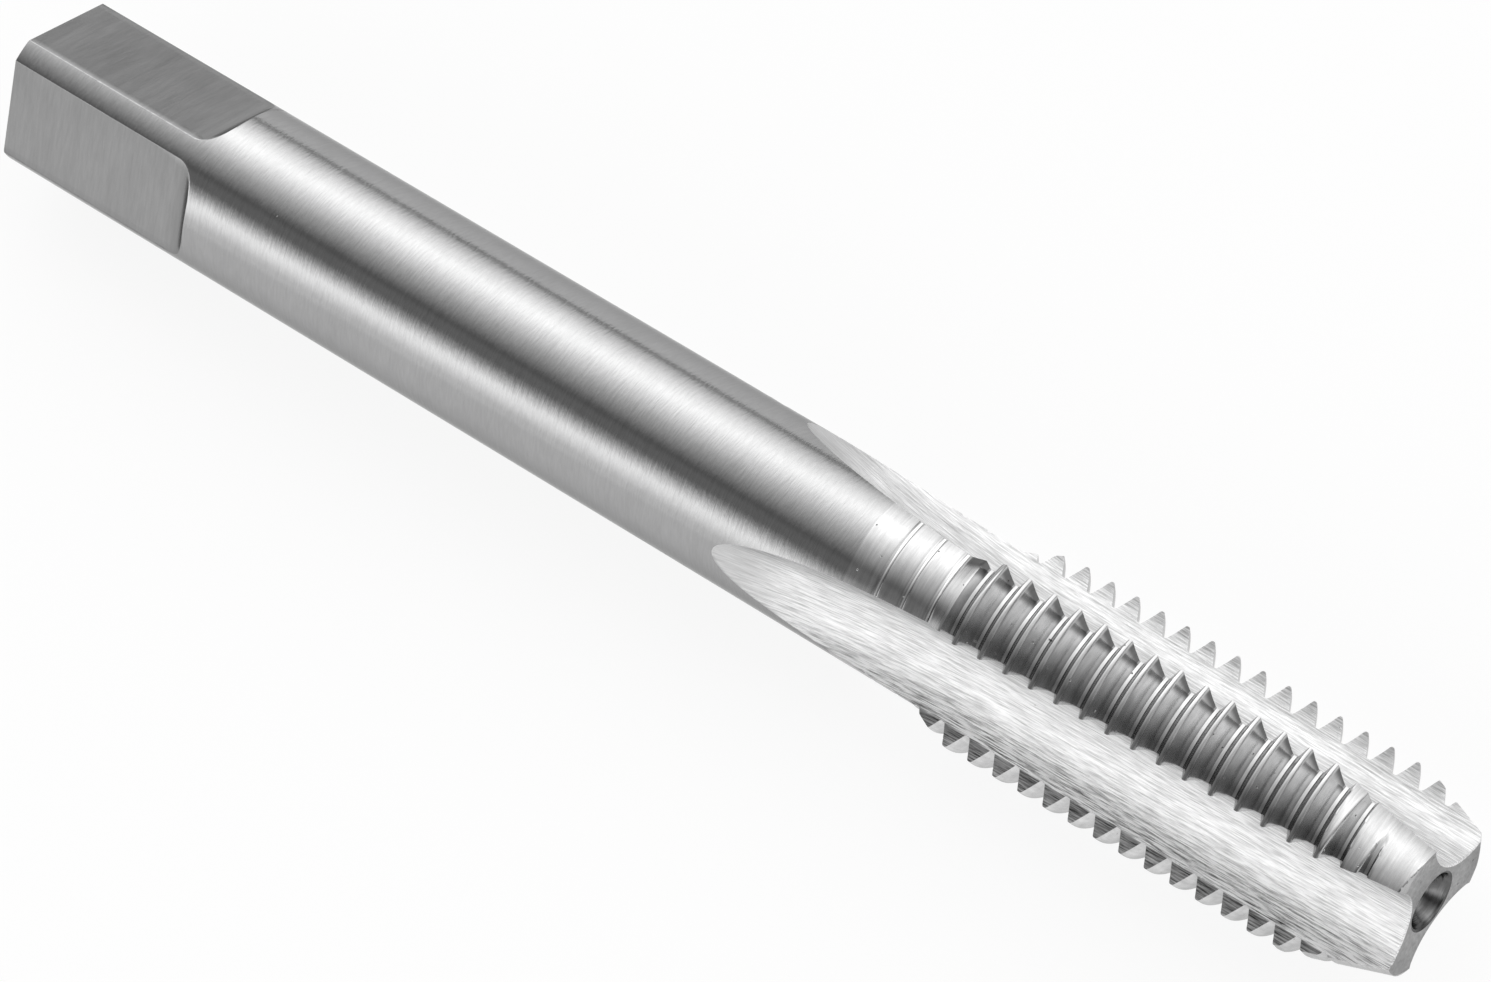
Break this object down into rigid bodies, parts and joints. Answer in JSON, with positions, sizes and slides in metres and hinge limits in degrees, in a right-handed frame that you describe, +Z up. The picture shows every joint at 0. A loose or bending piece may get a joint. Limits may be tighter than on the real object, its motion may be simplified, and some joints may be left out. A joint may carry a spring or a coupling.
{
  "type": "hand tap",
  "caption": "Straight-flute hand tap with a ground shank, a driving square, threaded lands and a tapered lead at the tip.",
  "frame": {"origin": "on the ground, straight below the middle of the tap's length and its axis", "axes": "+X along the axis from the square end to the cutting tip, +Z up, with one land on top"},
  "size_m": [0.0734, 0.0096, 0.0087],
  "materials": {
    "ground_steel": "bright ground, with fine grinding marks"
  },
  "bodies": {
    "root": {"hand_tap": "ground_steel"}
  },
  "joints": []
}
